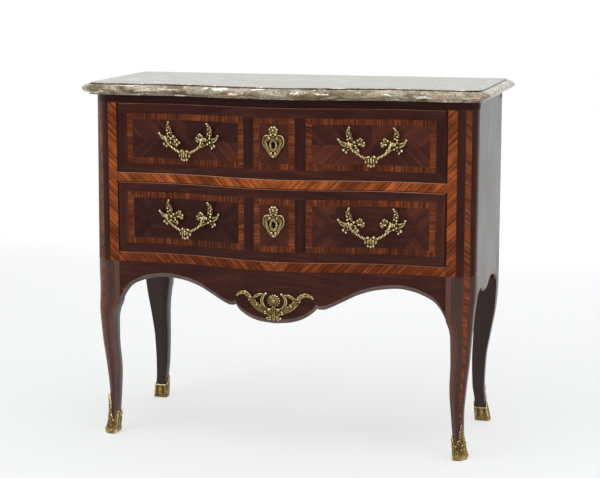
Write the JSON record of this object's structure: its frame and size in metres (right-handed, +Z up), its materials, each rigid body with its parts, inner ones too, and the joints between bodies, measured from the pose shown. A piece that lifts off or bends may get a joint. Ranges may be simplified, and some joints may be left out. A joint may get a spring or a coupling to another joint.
{
  "type": "commode chest",
  "caption": "Serpentine-fronted chest of drawers on cabriole legs with a moulded marble top, banded veneer and gilt bronze mounts.",
  "frame": {"origin": "centre of the outline's box at floor level", "axes": "+X to the viewer's right along the width, -Y out of the drawer fronts, +Z up"},
  "size_m": [0.984, 0.4406, 0.86],
  "materials": {
    "marble": "polished mottled marble with pale veins",
    "kingwood_veneer": "French polished dark veneer with lighter crossbanding",
    "tulipwood_veneer": "French polished orange-brown banding with diagonal grain",
    "drawer_veneer": "French polished dark veneer panels in crossbanded frames",
    "oak": "plain waxed oak",
    "gilt_bronze": "chased and worn gilding",
    "lock_iron": "dark forged iron"
  },
  "bodies": {
    "carcass": {"marble_top": "marble", "front_post_left": "kingwood_veneer", "front_post_right": "kingwood_veneer", "rear_post_left": "kingwood_veneer", "rear_post_right": "kingwood_veneer", "side_panel_left": "kingwood_veneer", "side_panel_right": "kingwood_veneer", "back_panel": "oak", "top_front_rail": "kingwood_veneer", "top_rear_rail": "oak", "divider_rail": "tulipwood_veneer", "front_apron": "kingwood_veneer", "rear_apron": "oak", "dust_board": "oak", "bottom_board": "oak", "upper_runner_left": "oak", "upper_runner_right": "oak", "lower_runner_left": "oak", "lower_runner_right": "oak", "front_sabot_left": "gilt_bronze", "front_sabot_right": "gilt_bronze", "rear_sabot_left": "gilt_bronze", "rear_sabot_right": "gilt_bronze", "apron_mount": "gilt_bronze"},
    "upper_drawer": {"upper_drawer_front": "drawer_veneer", "upper_drawer_side_left": "oak", "upper_drawer_side_right": "oak", "upper_drawer_back": "oak", "upper_drawer_bottom": "oak", "upper_drawer_escutcheon": "gilt_bronze", "upper_drawer_lock_case": "lock_iron", "upper_drawer_handle_left_mount_inner": "gilt_bronze", "upper_drawer_handle_left_mount_outer": "gilt_bronze", "upper_drawer_handle_left_nut_inner": "lock_iron", "upper_drawer_handle_left_nut_outer": "lock_iron", "upper_drawer_handle_right_mount_inner": "gilt_bronze", "upper_drawer_handle_right_mount_outer": "gilt_bronze", "upper_drawer_handle_right_nut_inner": "lock_iron", "upper_drawer_handle_right_nut_outer": "lock_iron"},
    "upper_lock_bolt": {"upper_drawer_lock_bolt": "lock_iron"},
    "upper_left_bail": {"upper_drawer_handle_left_bail": "gilt_bronze"},
    "upper_right_bail": {"upper_drawer_handle_right_bail": "gilt_bronze"},
    "lower_drawer": {"lower_drawer_front": "drawer_veneer", "lower_drawer_side_left": "oak", "lower_drawer_side_right": "oak", "lower_drawer_back": "oak", "lower_drawer_bottom": "oak", "lower_drawer_escutcheon": "gilt_bronze", "lower_drawer_lock_case": "lock_iron", "lower_drawer_handle_left_mount_inner": "gilt_bronze", "lower_drawer_handle_left_mount_outer": "gilt_bronze", "lower_drawer_handle_left_nut_inner": "lock_iron", "lower_drawer_handle_left_nut_outer": "lock_iron", "lower_drawer_handle_right_mount_inner": "gilt_bronze", "lower_drawer_handle_right_mount_outer": "gilt_bronze", "lower_drawer_handle_right_nut_inner": "lock_iron", "lower_drawer_handle_right_nut_outer": "lock_iron"},
    "lower_lock_bolt": {"lower_drawer_lock_bolt": "lock_iron"},
    "lower_left_bail": {"lower_drawer_handle_left_bail": "gilt_bronze"},
    "lower_right_bail": {"lower_drawer_handle_right_bail": "gilt_bronze"}
  },
  "joints": [
    {"name": "upper_drawer_slide", "type": "slide", "parent": "carcass", "child": "upper_drawer", "axis": [0, -1, 0], "range_m": [0, 0.28]},
    {"name": "lower_drawer_slide", "type": "slide", "parent": "carcass", "child": "lower_drawer", "axis": [0, -1, 0], "range_m": [0, 0.28]},
    {"name": "upper_lock_throw", "type": "slide", "parent": "upper_drawer", "child": "upper_lock_bolt", "axis": [0, 0, 1], "range_m": [0, 0.008]},
    {"name": "lower_lock_throw", "type": "slide", "parent": "lower_drawer", "child": "lower_lock_bolt", "axis": [0, 0, 1], "range_m": [0, 0.008]},
    {"name": "upper_left_bail_swing", "type": "hinge", "parent": "upper_drawer", "child": "upper_left_bail", "pos_m": [-0.22352, -0.17996, 0.73405], "axis": [-0.9916, 0.1295, 0], "range_deg": [0, 85]},
    {"name": "upper_right_bail_swing", "type": "hinge", "parent": "upper_drawer", "child": "upper_right_bail", "pos_m": [0.22352, -0.17996, 0.73405], "axis": [-0.9916, -0.1295, 0], "range_deg": [0, 85]},
    {"name": "lower_left_bail_swing", "type": "hinge", "parent": "lower_drawer", "child": "lower_left_bail", "pos_m": [-0.22352, -0.17996, 0.54909], "axis": [-0.9916, 0.1295, 0], "range_deg": [0, 85]},
    {"name": "lower_right_bail_swing", "type": "hinge", "parent": "lower_drawer", "child": "lower_right_bail", "pos_m": [0.22352, -0.17996, 0.54909], "axis": [-0.9916, -0.1295, 0], "range_deg": [0, 85]}
  ]
}
